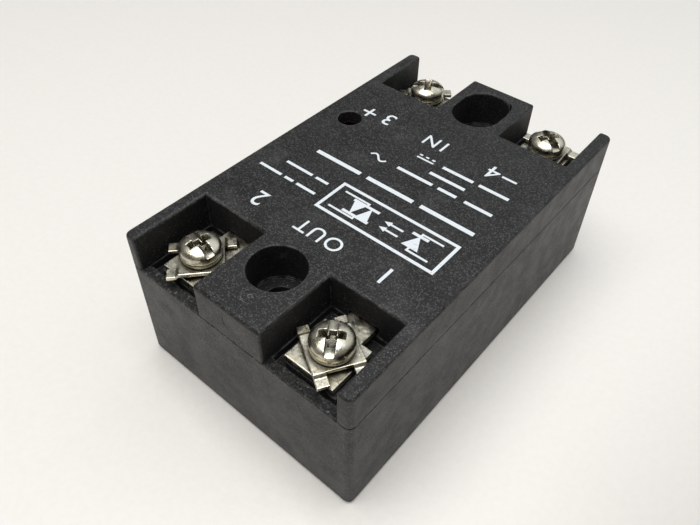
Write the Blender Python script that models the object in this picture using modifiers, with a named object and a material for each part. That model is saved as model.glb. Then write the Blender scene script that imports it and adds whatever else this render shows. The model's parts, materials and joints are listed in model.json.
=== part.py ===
"""Solid state relay in a black moulded case, with four screw terminals.

The load terminals (1 and 2) are at the -Y end and the input terminals (3 and 4) at the +Y end.
The origin is the centre of the underside, +Z is up, and lengths below are in millimetres.
"""
import math

import bmesh
import bpy
from mathutils import Vector

MM = 0.001

# Case: outer size at the foot and at the top, and the levels of the joint between its two mouldings.
FOOT_HALF_WIDTH, TOP_HALF_WIDTH = 20.6, 20.15
FOOT_HALF_LENGTH, TOP_HALF_LENGTH = 32.75, 32.5
HEIGHT = 25.1
SEAM_LOW, SEAM_HIGH = 19.1, 19.25
CORNER_RADIUS = 1.0
SIDE_WALL = 2.15
ROOF_UNDERSIDE = 22.9
CAVITY_HALF_WIDTH = 18.2
CAVITY_NEAR, CAVITY_FAR = -18.2, 19.1

# Ends: a boss along the middle with a fixing hole, and a terminal pocket on each side of it.
BOSS_HALF_WIDTH = 6.0
NEAR_POCKET_BACK, FAR_POCKET_BACK = -19.8, 20.7
POCKET_WALL = 2.0
END_LEDGE = 31.0
FLOOR_LEVEL = 17.9
HOLE_NEAR, HOLE_FAR = -23.4, 25.0
COUNTERBORE_RADIUS, FIXING_RADIUS = 4.07, 2.25
SEAT_RADIUS, SEAT_LEVEL = 3.95, 18.85
FAR_HOLE_HALF_RUN = 1.3
BAR_NOTCH_HALF_WIDTH = 2.5
TONGUE_X, TONGUE_HALF_LENGTH = (16.9, 17.95), 6.0
FLOOR_OUTER, PEDESTAL_RIM, WELL_BOTTOM = 17.8, 0.6, 10.5
INDICATOR_X, INDICATOR_Y, INDICATOR_RADIUS = -14.9, 8.5, 1.95

# Heat sink plate and the power stage on it. Sizes are X, Y and height.
PLATE_THICKNESS, PLATE_GAP = 3.0, 0.15
PLATE_HALF_WIDTH, PLATE_HALF_LENGTH, PLATE_CORNER = 18.4, 30.3, 2.0
CASE_FOOT = 0.2
SUBSTRATE_SIZE, SUBSTRATE_Y, SUBSTRATE_TOP = (24.0, 20.0, 0.9), 2.0, 4.0
RESIN_HALF_WIDTH, RESIN_BOTTOM, RESIN_TOP = 17.9, 3.2, 6.0
WINDOW_HALF_WIDTH, WINDOW_NEAR, WINDOW_FAR = 12.3, -8.3, 16.0
TAB_SIZE, TAB_Y, TAB_HOLE_Y, TAB_HOLE_RADIUS = (10.2, 15.5, 1.3), 1.25, -4.45, 1.9
TRIAC_SIZE, TRIAC_Y = (10.0, 9.0, 3.1), 4.6
TRIAC_PITCH, LEAD_Y, LEAD_HALF_WIDTH, LEAD_THICKNESS = 2.54, 9.2, 0.4, 0.6
LEAD_REACH, LEAD_RISE = 4.2, 6.6

# Circuit board.
BOARD_BOTTOM, BOARD_TOP = 10.0, 11.6
BOARD_HALF_WIDTH, BOARD_NEAR, BOARD_FAR = 16.6, -17.3, 18.3
LEDGE_INNER, LEDGE_LENGTH, LEDGE_HEIGHT = 15.2, 3.0, 2.7
SOLDER_GAP = 0.3
COMPONENT_FOOT = BOARD_TOP + SOLDER_GAP
LEAD_WIRE_RADIUS = 0.3

# Terminals: the screw and plate centres, and the stack of levels on the screw's axis.
SCREW_X, NEAR_SCREW_Y, FAR_SCREW_Y = 12.0, -26.3, 26.7
PLATE_X = 11.6
BAR_THICKNESS = 1.1
BAR_TOP = 20.4
BAR_HALF_WIDTH, BAR_OUTER, BAR_INNER = 4.0, 30.3, 22.8
NECK_HALF_WIDTH, LEG_HALF_WIDTH = 2.2, 1.6
NEAR_LEG, FAR_LEG = 15.6, 16.4
NUT_SIZE, NUT_HEIGHT = 7.0, 2.6
CLAMP_THICKNESS, CLAMP_STEP = 0.6, 0.4
CLAMP_BOTTOM = 20.5
CLAMP_CORE, CLAMP_FOLD, CLAMP_REACH, CLAMP_HALF_WIDTH, EAR_NOTCH = 3.1, 3.5, 4.8, 3.4, 1.7
SPRING_BOTTOM, SPRING_TOP = 21.55, 22.1
HEAD_BOTTOM, HEAD_HEIGHT, HEAD_RADIUS, HEAD_EDGE = 22.15, 2.3, 2.95, 1.0
SHANK_RADIUS, SHANK_LENGTH = 1.7, 8.6
NUT_HOLE, BAR_HOLE, WASHER_HOLE = 1.78, 1.95, 1.85
SLOT_WIDTH, SLOT_DEPTH, CROSS_LENGTH, CROSS_DEPTH = 1.2, 1.1, 3.9, 1.3

# Terminal number: side (+X or -X), end (-Y or +Y), turn of the clamp washer, turn of the screw slot.
TERMINALS = {
    1: (+1, -1, -31.0, -56.0),
    2: (-1, -1, 48.0, -9.0),
    3: (-1, +1, 41.0, 30.0),
    4: (+1, +1, 3.0, -32.0),
}

BLACK = ("case_black", (0.022, 0.022, 0.024), 0.55, 0.0)
ALUMINIUM = ("aluminium", (0.60, 0.60, 0.61), 0.40, 1.0)
NICKEL = ("nickel_plate", (0.70, 0.66, 0.56), 0.25, 1.0)
COPPER = ("copper", (0.72, 0.40, 0.26), 0.35, 1.0)
CERAMIC = ("ceramic", (0.85, 0.85, 0.82), 0.60, 0.0)
RESIN = ("potting_resin", (0.10, 0.09, 0.08), 0.35, 0.0)
EPOXY = ("epoxy_black", (0.03, 0.03, 0.03), 0.60, 0.0)
BOARD = ("board_green", (0.05, 0.22, 0.09), 0.45, 0.0)
RESISTOR = ("resistor_tan", (0.62, 0.52, 0.36), 0.50, 0.0)
FILM = ("film_capacitor", (0.60, 0.34, 0.10), 0.45, 0.0)
VARISTOR = ("varistor_blue", (0.08, 0.14, 0.42), 0.45, 0.0)
CAN = ("capacitor_sleeve", (0.06, 0.07, 0.16), 0.40, 0.0)
LAMP = ("lamp_red", (0.45, 0.03, 0.03), 0.20, 0.0)


def half_width(level):
    """Half the case's width at a height: the sides lean in by the mould's draft."""
    return FOOT_HALF_WIDTH + (TOP_HALF_WIDTH - FOOT_HALF_WIDTH) * level / HEIGHT


def half_length(level):
    return FOOT_HALF_LENGTH + (TOP_HALF_LENGTH - FOOT_HALF_LENGTH) * level / HEIGHT


def new_collection(name):
    collection = bpy.data.collections.new(name)
    bpy.context.scene.collection.children.link(collection)
    return collection


def surface(spec):
    """The material of a specification, made on its first use."""
    name, colour, roughness, metallic = spec
    if name in bpy.data.materials:
        return bpy.data.materials[name]
    material = bpy.data.materials.new(name)
    material.use_nodes = True
    material.diffuse_color = (*colour, 1.0)
    shader = material.node_tree.nodes["Principled BSDF"]
    shader.inputs["Base Color"].default_value = (*colour, 1.0)
    shader.inputs["Roughness"].default_value = roughness
    shader.inputs["Metallic"].default_value = metallic
    return material


def mesh_from(bm, name):
    mesh = bpy.data.meshes.new(name)
    bm.to_mesh(mesh)
    bm.free()
    return mesh


def block_mesh(name, x, y, z):
    """A box between two values on each axis."""
    bm = bmesh.new()
    bmesh.ops.create_cube(bm, size=1.0)
    size = Vector((x[1] - x[0], y[1] - y[0], z[1] - z[0])) * MM
    centre = Vector((x[0] + x[1], y[0] + y[1], z[0] + z[1])) * MM / 2
    bmesh.ops.scale(bm, vec=size, verts=bm.verts)
    bmesh.ops.translate(bm, vec=centre, verts=bm.verts)
    return mesh_from(bm, name)


def standing_block(name, size, base=0.0):
    """A box of a given size, centred on the Z axis, with its underside at a height."""
    x, y, height = size
    return block_mesh(name, (-x / 2, x / 2), (-y / 2, y / 2), (base, base + height))


def drum_mesh(name, radius, z, segments=32):
    """A round bar along Z between two heights."""
    bm = bmesh.new()
    bmesh.ops.create_cone(bm, cap_ends=True, segments=segments, radius1=radius * MM,
                          radius2=radius * MM, depth=(z[1] - z[0]) * MM)
    bmesh.ops.translate(bm, vec=(0, 0, (z[0] + z[1]) / 2 * MM), verts=bm.verts)
    mesh = mesh_from(bm, name)
    mesh.shade_smooth()
    mesh.set_sharp_from_angle(angle=math.radians(40))
    return mesh


def curve_to_mesh(name, curve):
    """The closed mesh of a curve, with its loose caps joined on."""
    carrier = bpy.data.objects.new(name, curve)
    bpy.context.scene.collection.objects.link(carrier)
    bpy.context.view_layer.update()
    evaluated = carrier.evaluated_get(bpy.context.evaluated_depsgraph_get())
    mesh = bpy.data.meshes.new_from_object(evaluated)
    bpy.data.objects.remove(carrier)
    bm = bmesh.new()
    bm.from_mesh(mesh)
    bmesh.ops.remove_doubles(bm, verts=bm.verts, dist=0.001 * MM)
    bmesh.ops.recalc_face_normals(bm, faces=bm.faces)
    bm.to_mesh(mesh)
    bm.free()
    mesh.name = name
    return mesh


def outline_mesh(name, points, low, high):
    """A flat outline in the XY plane, given thickness between two heights."""
    curve = bpy.data.curves.new(name, "CURVE")
    curve.dimensions = "2D"
    curve.fill_mode = "BOTH"
    curve.extrude = (high - low) / 2 * MM
    spline = curve.splines.new("POLY")
    spline.points.add(len(points) - 1)
    for point, (x, y) in zip(spline.points, points):
        point.co = (x * MM, y * MM, 0, 1)
    spline.use_cyclic_u = True
    mesh = curve_to_mesh(name, curve)
    for vert in mesh.vertices:
        vert.co.z += (low + high) / 2 * MM
    return mesh


def upright_outline(mesh):
    """Stand a flat outline up: its Y becomes height, and its thickness runs along Y."""
    for vert in mesh.vertices:
        x, y, z = vert.co
        vert.co = (x, -z, y)
    return mesh


def wire_mesh(name, points, radius):
    """A round wire through the given points."""
    curve = bpy.data.curves.new(name, "CURVE")
    curve.dimensions = "3D"
    curve.bevel_depth = radius * MM
    curve.bevel_resolution = 2
    curve.use_fill_caps = True
    spline = curve.splines.new("POLY")
    spline.points.add(len(points) - 1)
    for point, place in zip(spline.points, points):
        point.co = (*(value * MM for value in place), 1)
    return curve_to_mesh(name, curve)


def arc(centre, radius, start, end, steps):
    """Points along an arc, both ends included, with angles in degrees."""
    for step in range(steps + 1):
        angle = math.radians(start + (end - start) * step / steps)
        yield (centre[0] + radius * math.cos(angle), centre[1] + radius * math.sin(angle))


def oblong(radius, half_run, steps=14):
    """Outline of a slot along Y with round ends."""
    far_end = list(arc((0, half_run), radius, 0, 180, steps))
    near_end = list(arc((0, -half_run), radius, 180, 360, steps))
    return far_end + near_end


def rounded_rectangle(half_x, half_y, radius, steps=4):
    corners = ((1, 1, 0), (-1, 1, 90), (-1, -1, 180), (1, -1, 270))
    points = []
    for side_x, side_y, start in corners:
        centre = (side_x * (half_x - radius), side_y * (half_y - radius))
        points += arc(centre, radius, start, start + 90, steps)
    return points


class Builder:
    """Adds the relay's pieces, and the hidden tools that cut or join them."""

    def __init__(self):
        self.parts = new_collection("solid_state_relay")
        self.tools = new_collection("cutters")

    def piece(self, name, mesh, spec, place=(0, 0, 0), turn=0.0):
        piece = bpy.data.objects.new(name, mesh)
        piece.location = Vector(place) * MM
        piece.rotation_euler.z = math.radians(turn)
        if not mesh.materials:
            mesh.materials.append(surface(spec))
        self.parts.objects.link(piece)
        return piece

    def tool(self, target, mesh, place=(0, 0, 0), operation="DIFFERENCE", turn=0.0, carried=False):
        """Cut a shape from a piece, or join it on. A carried tool is placed from the piece's origin."""
        tool = bpy.data.objects.new(mesh.name, mesh)
        tool.location = Vector(place) * MM
        tool.rotation_euler.z = math.radians(turn)
        tool.hide_render = True
        tool.display_type = "WIRE"
        if carried:
            tool.parent = target
        self.tools.objects.link(tool)
        boolean = target.modifiers.new(mesh.name, "BOOLEAN")
        boolean.operation = operation
        boolean.object = tool
        return tool

    def turned(self, name, profile, spec, place, turn=0.0, segments=32):
        """A turned piece: the profile runs from the axis at the top, down the outside, to the axis."""
        bm = bmesh.new()
        verts = [bm.verts.new((radius * MM, 0, height * MM)) for radius, height in profile]
        for upper, lower in zip(verts, verts[1:]):
            bm.edges.new((upper, lower))
        piece = self.piece(name, mesh_from(bm, name), spec, place, turn)
        screw = piece.modifiers.new("turn", "SCREW")
        screw.steps = screw.render_steps = segments
        screw.use_merge_vertices = True
        screw.merge_threshold = 0.00001
        screw.use_smooth_shade = True
        return piece


def case_slab(name, low, high):
    """A full slab of the case between two heights, with the draft and the rounded upright corners."""
    bm = bmesh.new()
    bmesh.ops.create_cube(bm, size=2.0)
    for vert in bm.verts:
        level = high if vert.co.z > 0 else low
        vert.co = Vector((vert.co.x * half_width(level), vert.co.y * half_length(level), level)) * MM
    upright = [edge for edge in bm.edges if abs(edge.verts[0].co.z - edge.verts[1].co.z) > MM]
    bmesh.ops.bevel(bm, geom=upright, offset=CORNER_RADIUS * MM, segments=4, profile=0.5, affect="EDGES")
    return mesh_from(bm, name)


def mirrored(span, side):
    """A span of values on one side of the middle plane, or its mirror image."""
    return (span[0], span[1]) if side > 0 else (-span[1], -span[0])


def pocket_ends(end):
    """A terminal pocket's span along Y, from past the case's end to the pocket's back wall."""
    outside = FOOT_HALF_LENGTH + 1.0
    return (-outside, NEAR_POCKET_BACK) if end < 0 else (FAR_POCKET_BACK, outside)


def fixing_holes(build, target, radius, low, high):
    """Cut the round near hole and the oblong far hole into a piece, between two heights."""
    build.tool(target, drum_mesh("near_hole", radius, (low, high), 40), (0, HOLE_NEAR, 0))
    build.tool(target, outline_mesh("far_hole", oblong(radius, FAR_HOLE_HALF_RUN), low, high),
               (0, HOLE_FAR, 0))


def add_upper_cover(build):
    cover = build.piece("upper_cover", case_slab("upper_cover", SEAM_HIGH, HEIGHT), BLACK)
    pocket_outer = half_width(HEIGHT) - SIDE_WALL
    below, above = SEAM_HIGH - 1.0, HEIGHT + 1.0
    for side in (+1, -1):
        for end in (-1, +1):
            pocket = block_mesh("pocket", mirrored((BOSS_HALF_WIDTH, pocket_outer), side),
                                pocket_ends(end), (below, above))
            build.tool(cover, pocket)
    hollow = block_mesh("hollow", (-pocket_outer, pocket_outer),
                        (NEAR_POCKET_BACK + POCKET_WALL, FAR_POCKET_BACK - POCKET_WALL),
                        (below, ROOF_UNDERSIDE))
    build.tool(cover, hollow)
    for side in (+1, -1):
        for back in (NEAR_POCKET_BACK, FAR_POCKET_BACK):
            span = (back - POCKET_WALL - 0.5, back + POCKET_WALL + 0.5)
            notch_x = (PLATE_X - BAR_NOTCH_HALF_WIDTH, PLATE_X + BAR_NOTCH_HALF_WIDTH)
            bar_notch = block_mesh("bar_notch", mirrored(notch_x, side), span,
                                   (below, BAR_TOP + SOLDER_GAP))
            build.tool(cover, bar_notch)
        tongue = block_mesh("locating_tongue", mirrored(TONGUE_X, side),
                            (-TONGUE_HALF_LENGTH, TONGUE_HALF_LENGTH),
                            (SEAM_LOW - 2.0, ROOF_UNDERSIDE + 0.5))
        build.tool(cover, tongue, operation="UNION")
    fixing_holes(build, cover, COUNTERBORE_RADIUS, below, above)
    build.tool(cover, drum_mesh("indicator_hole", INDICATOR_RADIUS, (below, above)),
               (INDICATOR_X, INDICATOR_Y, 0))


def screw_place(side, end):
    return (side * SCREW_X, NEAR_SCREW_Y if end < 0 else FAR_SCREW_Y, 0)


def add_lower_case(build):
    case = build.piece("lower_case", case_slab("lower_case", CASE_FOOT, SEAM_LOW), BLACK)
    below, above = CASE_FOOT - 1.0, SEAM_LOW + 1.0
    seat_outline = rounded_rectangle(PLATE_HALF_WIDTH + PLATE_GAP, PLATE_HALF_LENGTH + PLATE_GAP,
                                     PLATE_CORNER + PLATE_GAP)
    build.tool(case, outline_mesh("plate_seat", seat_outline, below, PLATE_THICKNESS + PLATE_GAP))
    cavity = block_mesh("cavity", (-CAVITY_HALF_WIDTH, CAVITY_HALF_WIDTH), (CAVITY_NEAR, CAVITY_FAR),
                        (below, above))
    build.tool(case, cavity)
    fixing_holes(build, case, FIXING_RADIUS, below, above)
    fixing_holes(build, case, SEAT_RADIUS, SEAT_LEVEL, above)
    for side in (+1, -1):
        for end in (-1, +1):
            add_terminal_floor(build, case, side, end)
            add_board_ledge(build, case, side, end)


def add_terminal_floor(build, case, side, end):
    """Sunken floor of one terminal pocket, with a pedestal that holds the nut."""
    x, y, _ = screw_place(side, end)
    inner = NEAR_POCKET_BACK - 0.1 if end < 0 else FAR_POCKET_BACK + 0.1
    floor = block_mesh("pocket_floor", mirrored((BOSS_HALF_WIDTH + 0.2, FLOOR_OUTER), side),
                       (-END_LEDGE, inner) if end < 0 else (inner, END_LEDGE),
                       (FLOOR_LEVEL, SEAM_LOW + 1.0))
    cutter = build.tool(case, floor)
    rim = NUT_SIZE / 2 + PEDESTAL_RIM
    pedestal = block_mesh("nut_pedestal", (x - rim, x + rim), (y - rim, y + rim),
                          (FLOOR_LEVEL - 1.0, SEAM_LOW + 2.0))
    build.tool(cutter, pedestal)
    seat = NUT_SIZE / 2 + 0.1
    nut_seat = block_mesh("nut_seat", (x - seat, x + seat), (y - seat, y + seat),
                          (SEAM_LOW - NUT_HEIGHT - 0.2, SEAM_LOW + 1.5))
    build.tool(case, nut_seat)
    shank_well = drum_mesh("shank_well", SHANK_RADIUS + 0.5, (WELL_BOTTOM, SEAM_LOW))
    build.tool(case, shank_well, (x, y, 0))


def add_board_ledge(build, case, side, end):
    """Small block in a corner of the cavity that carries the circuit board."""
    inside = CAVITY_NEAR if end < 0 else CAVITY_FAR
    top = BOARD_BOTTOM - SOLDER_GAP
    ledge = block_mesh("board_ledge", mirrored((LEDGE_INNER, CAVITY_HALF_WIDTH + 0.5), side),
                       sorted((inside + end * 0.5, inside - end * LEDGE_LENGTH)), (top - LEDGE_HEIGHT, top))
    build.tool(case, ledge, operation="UNION")


def add_power_stage(build):
    """Heat sink plate, insulating substrate, resin and the switching element with its leads."""
    outline = rounded_rectangle(PLATE_HALF_WIDTH, PLATE_HALF_LENGTH, PLATE_CORNER)
    plate = build.piece("heat_sink_plate", outline_mesh("heat_sink_plate", outline, 0, PLATE_THICKNESS),
                        ALUMINIUM)
    fixing_holes(build, plate, FIXING_RADIUS + 0.05, -1.0, PLATE_THICKNESS + 1.0)
    build.piece("ceramic_substrate", standing_block("ceramic_substrate", SUBSTRATE_SIZE), CERAMIC,
                (0, SUBSTRATE_Y, SUBSTRATE_TOP - SUBSTRATE_SIZE[2]))
    resin = build.piece("potting_resin",
                        block_mesh("potting_resin", (-RESIN_HALF_WIDTH, RESIN_HALF_WIDTH),
                                   (CAVITY_NEAR + 0.3, CAVITY_FAR - 0.3), (RESIN_BOTTOM, RESIN_TOP)), RESIN)
    build.tool(resin, block_mesh("resin_window", (-WINDOW_HALF_WIDTH, WINDOW_HALF_WIDTH),
                                 (WINDOW_NEAR, WINDOW_FAR), (RESIN_BOTTOM - 1.0, RESIN_TOP + 1.0)))
    tab_base = SUBSTRATE_TOP + 0.1
    tab = build.piece("triac_tab", standing_block("triac_tab", TAB_SIZE), COPPER, (0, TAB_Y, tab_base))
    tab_hole = drum_mesh("tab_hole", TAB_HOLE_RADIUS, (-1.0, TAB_SIZE[2] + 1.0))
    build.tool(tab, tab_hole, (0, TAB_HOLE_Y, 0), carried=True)
    build.piece("triac_body", standing_block("triac_body", TRIAC_SIZE), EPOXY,
                (0, TRIAC_Y, tab_base + TAB_SIZE[2] + 0.1))
    tip = LEAD_REACH - LEAD_THICKNESS
    lead_outline = [(0, 0), (LEAD_REACH, 0), (LEAD_REACH, LEAD_RISE), (tip, LEAD_RISE),
                    (tip, LEAD_THICKNESS), (0, LEAD_THICKNESS)]
    for number in (1, 2, 3):
        lead = upright_outline(outline_mesh("triac_lead", lead_outline, -LEAD_HALF_WIDTH, LEAD_HALF_WIDTH))
        build.piece(f"triac_lead_{number}", lead, NICKEL,
                    ((number - 2) * TRIAC_PITCH, LEAD_Y, SUBSTRATE_TOP + 2.2), 90.0)


def add_axial_component(build, name, spec, place, length, radius, reach):
    """Two-lead component lying along X, with its leads bent down to the board."""
    height = radius + 0.8
    centre = (*place, COMPONENT_FOOT + height)
    half, chamfer = length / 2, 0.4
    profile = [(0, half), (radius * 0.8, half), (radius, half - chamfer),
               (radius, chamfer - half), (radius * 0.8, -half), (0, -half)]
    piece = build.turned(name, profile, spec, centre, segments=16)
    piece.rotation_euler.y = math.pi / 2
    bend = 0.6
    leads = [(-reach, 0, -height), (-reach, 0, -bend), (bend - reach, 0, 0),
             (reach - bend, 0, 0), (reach, 0, -bend), (reach, 0, -height)]
    build.tool(piece, wire_mesh(f"{name}_leads", leads, LEAD_WIRE_RADIUS), centre, operation="UNION")


def add_legs(build, piece, places, half_size, low, high):
    """Join straight legs under a component, at places counted from its origin."""
    for x, y in places:
        leg = block_mesh("leg", (x - half_size, x + half_size), (y - half_size, y + half_size), (low, high))
        build.tool(piece, leg, operation="UNION", carried=True)


def add_photocoupler(build, x, y):
    coupler = build.piece("photocoupler", standing_block("photocoupler", (7.2, 6.4, 3.4), 0.6), EPOXY,
                          (x, y, COMPONENT_FOOT))
    rows = [(column * TRIAC_PITCH, side * 3.4) for column in (-1, 0, 1) for side in (-1, 1)]
    add_legs(build, coupler, rows, 0.3, 0.0, 2.4)


def add_snubber_capacitor(build, x, y):
    capacitor = build.piece("snubber_capacitor", standing_block("snubber_capacitor", (13.0, 5.6, 8.5), 0.5),
                            FILM, (x, y, COMPONENT_FOOT))
    add_legs(build, capacitor, [(-5.0, 0), (5.0, 0)], 0.35, 0.0, 1.0)


def add_varistor(build, x, y):
    """Disc varistor, standing on its edge."""
    radius, half_thickness, centre = 4.5, 2.1, 5.2
    flat = outline_mesh("varistor", oblong(radius, 0.0), -half_thickness, half_thickness)
    disc = build.piece("varistor", upright_outline(flat), VARISTOR, (x, y, COMPONENT_FOOT + centre))
    add_legs(build, disc, [(-2.5, 0), (2.5, 0)], 0.35, -centre, -3.0)


def add_filter_capacitor(build, x, y):
    radius, rim, low, high = 2.5, 0.3, 0.4, 7.4
    profile = [(0, high), (radius - rim, high), (radius, high - rim), (radius, low + rim),
               (radius - rim, low), (0, low)]
    can = build.turned("filter_capacitor", profile, CAN, (x, y, COMPONENT_FOOT), segments=24)
    add_legs(build, can, [(-1.0, 0), (1.0, 0)], 0.25, 0.0, 1.0)


def add_input_transistor(build, x, y):
    """Small round transistor with one flat side."""
    flat_side = list(arc((0, 0), 2.3, -40, 220, 14))
    transistor = build.piece("input_transistor", outline_mesh("input_transistor", flat_side, 2.0, 6.6),
                             EPOXY, (x, y, COMPONENT_FOOT))
    add_legs(build, transistor, [(-1.3, 0), (0, 0), (1.3, 0)], 0.2, 0.0, 2.5)


def add_board(build):
    """Circuit board and everything mounted on it."""
    board = build.piece("circuit_board",
                        block_mesh("circuit_board", (-BOARD_HALF_WIDTH, BOARD_HALF_WIDTH),
                                   (BOARD_NEAR, BOARD_FAR), (BOARD_BOTTOM, BOARD_TOP)), BOARD)
    lead_row = LEAD_Y + LEAD_REACH - LEAD_THICKNESS / 2
    for number in (1, 2, 3):
        build.tool(board, drum_mesh("lead_hole", 0.8, (BOARD_BOTTOM - 1.0, BOARD_TOP + 1.0), 12),
                   ((number - 2) * TRIAC_PITCH, lead_row, 0))
    add_photocoupler(build, 6.5, 3.5)
    add_snubber_capacitor(build, 8.0, -8.0)
    add_varistor(build, -7.5, -8.5)
    add_filter_capacitor(build, 11.5, 11.5)
    add_input_transistor(build, 5.2, 10.8)
    add_axial_component(build, "snubber_resistor", RESISTOR, (-6.0, -2.6), length=9.5, radius=1.8, reach=7.0)
    add_axial_component(build, "input_resistor", RESISTOR, (-5.0, 2.4), length=7.0, radius=1.3, reach=5.2)
    add_axial_component(build, "bias_resistor", RESISTOR, (-5.0, 6.2), length=5.6, radius=1.0, reach=4.2)
    add_axial_component(build, "protection_diode", EPOXY, (-5.0, 9.8), length=4.8, radius=1.2, reach=4.2)


def add_indicator(build):
    """Indicator lamp on its stand-off, under the small hole in the cover."""
    spacer_height, spacer_radius, spacer_bore = 5.2, 1.6, 1.0
    place = (INDICATOR_X, INDICATOR_Y, COMPONENT_FOOT)
    spacer = build.piece("led_spacer", drum_mesh("led_spacer", spacer_radius, (0, spacer_height), 24),
                         EPOXY, place)
    build.tool(spacer, drum_mesh("spacer_bore", spacer_bore, (-1.0, spacer_height + 1.0), 24), place)
    lens, barrel, flange = 1.5, 3.9, 0.9
    dome = [(lens * math.cos(math.radians(angle)), barrel + lens * math.sin(math.radians(angle)))
            for angle in range(90, -1, -15)]
    profile = dome + [(lens, flange + 0.1), (lens + 0.1, flange), (lens + 0.1, 0.0), (0, 0)]
    base = spacer_height + SOLDER_GAP
    lamp = build.turned("indicator_led", profile, LAMP,
                        (INDICATOR_X, INDICATOR_Y, COMPONENT_FOOT + base), segments=24)
    add_legs(build, lamp, [(-0.5, 0), (0.5, 0)], 0.18, 0.1 - base, 0.5)


def add_terminal_plate(build, number, side, end):
    """Bus bar: the plate under the screw, then a neck through the cover and a leg down to the board."""
    x, y, _ = screw_place(side, end)
    levels = (BAR_TOP - BAR_THICKNESS, BAR_TOP)
    plate = build.piece(f"terminal_plate_{number}",
                        block_mesh("terminal_plate", (-BAR_HALF_WIDTH, BAR_HALF_WIDTH),
                                   mirrored((BAR_INNER, BAR_OUTER), end), levels),
                        NICKEL, (side * PLATE_X, 0, 0))
    leg_face = NEAR_LEG if end < 0 else FAR_LEG
    neck = block_mesh("bar_neck", (-NECK_HALF_WIDTH, NECK_HALF_WIDTH),
                      mirrored((leg_face, BAR_INNER + 1.0), end), levels)
    build.tool(plate, neck, operation="UNION", carried=True)
    leg = block_mesh("bar_leg", (-LEG_HALF_WIDTH, LEG_HALF_WIDTH),
                     mirrored((leg_face, leg_face + BAR_THICKNESS), end), (COMPONENT_FOOT, BAR_TOP - 0.2))
    build.tool(plate, leg, operation="UNION", carried=True)
    build.tool(plate, drum_mesh("bar_hole", BAR_HOLE, (BAR_TOP - 3, BAR_TOP + 1)), (x, y, 0))


def add_nut(build, number, place):
    nut = build.piece(f"terminal_nut_{number}",
                      standing_block("terminal_nut", (NUT_SIZE, NUT_SIZE, NUT_HEIGHT), -NUT_HEIGHT), NICKEL,
                      (place[0], place[1], SEAM_LOW))
    build.tool(nut, drum_mesh("nut_bore", NUT_HOLE, (-NUT_HEIGHT - 1.0, 1.0)), carried=True)


def add_clamp_washer(build, number, place, turn):
    """Square washer whose four corner ears step down to grip the wire against the plate."""
    low, high = CLAMP_BOTTOM, CLAMP_BOTTOM + CLAMP_STEP
    under = [(-CLAMP_REACH, low), (-CLAMP_FOLD, low), (-CLAMP_CORE, high),
             (CLAMP_CORE, high), (CLAMP_FOLD, low), (CLAMP_REACH, low)]
    over = [(x, z + CLAMP_THICKNESS) for x, z in reversed(under)]
    section = outline_mesh("clamp_washer", under + over, -CLAMP_HALF_WIDTH, CLAMP_HALF_WIDTH)
    washer = build.piece(f"clamp_washer_{number}", upright_outline(section), NICKEL, place, turn)
    cut = (low - 1.0, high + CLAMP_THICKNESS + 1.0)
    for side in (+1, -1):
        notch = block_mesh("ear_notch", mirrored((CLAMP_CORE, CLAMP_REACH + 1.0), side),
                           (-EAR_NOTCH, EAR_NOTCH), cut)
        build.tool(washer, notch, carried=True)
    build.tool(washer, drum_mesh("washer_bore", WASHER_HOLE, cut), carried=True)


def add_spring_washer(build, number, place, turn):
    """Split ring under the screw head."""
    split = 8.0
    outer = list(arc((0, 0), HEAD_RADIUS - 0.1, split, 360 - split, 36))
    inner = list(arc((0, 0), WASHER_HOLE, 360 - split, split, 36))
    ring = outline_mesh("spring_washer", outer + inner, SPRING_BOTTOM, SPRING_TOP)
    build.piece(f"spring_washer_{number}", ring, NICKEL, place, turn)


def add_screw(build, number, place, turn):
    """Pan-head screw with a full-width slot crossed by a shorter recess."""
    dome_height = HEAD_HEIGHT - HEAD_EDGE
    dome = [(HEAD_RADIUS * math.sin(math.radians(angle)),
             HEAD_EDGE + dome_height * math.cos(math.radians(angle))) for angle in range(0, 91, 15)]
    profile = dome + [(HEAD_RADIUS, 0.0), (SHANK_RADIUS, 0.0), (SHANK_RADIUS, 0.5 - SHANK_LENGTH),
                      (SHANK_RADIUS - 0.4, -SHANK_LENGTH), (0, -SHANK_LENGTH)]
    screw = build.turned(f"terminal_screw_{number}", profile, NICKEL, (place[0], place[1], HEAD_BOTTOM), turn)
    reach = HEAD_RADIUS + 1.0
    slot = block_mesh("screw_slot", (-reach, reach), (-SLOT_WIDTH / 2, SLOT_WIDTH / 2),
                      (HEAD_HEIGHT - SLOT_DEPTH, HEAD_HEIGHT + 1.0))
    build.tool(screw, slot, carried=True)
    cross = block_mesh("screw_cross", (-SLOT_WIDTH / 2 + 0.1, SLOT_WIDTH / 2 - 0.1),
                       (-CROSS_LENGTH / 2, CROSS_LENGTH / 2),
                       (HEAD_HEIGHT - CROSS_DEPTH, HEAD_HEIGHT + 1.0))
    build.tool(screw, cross, carried=True)


def add_terminals(build):
    for number, (side, end, clamp_turn, slot_turn) in TERMINALS.items():
        place = screw_place(side, end)
        add_terminal_plate(build, number, side, end)
        add_nut(build, number, place)
        add_clamp_washer(build, number, place, clamp_turn)
        add_spring_washer(build, number, place, clamp_turn + 90)
        add_screw(build, number, place, slot_turn)


def main():
    for leftover in list(bpy.data.objects):
        bpy.data.objects.remove(leftover)
    build = Builder()
    add_upper_cover(build)
    add_lower_case(build)
    add_power_stage(build)
    add_board(build)
    add_indicator(build)
    add_terminals(build)


main()
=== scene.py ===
"""Looks for the solid state relay: mouldings, terminals, printing, table, light and camera.

Lengths are in millimetres, turned into metres by MM where geometry is made. The printing reads
from the +Y side, so its own right is -X and its own up is -Y.
"""
import json
import math

import bmesh
import bpy
from mathutils import Matrix, Vector


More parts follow.
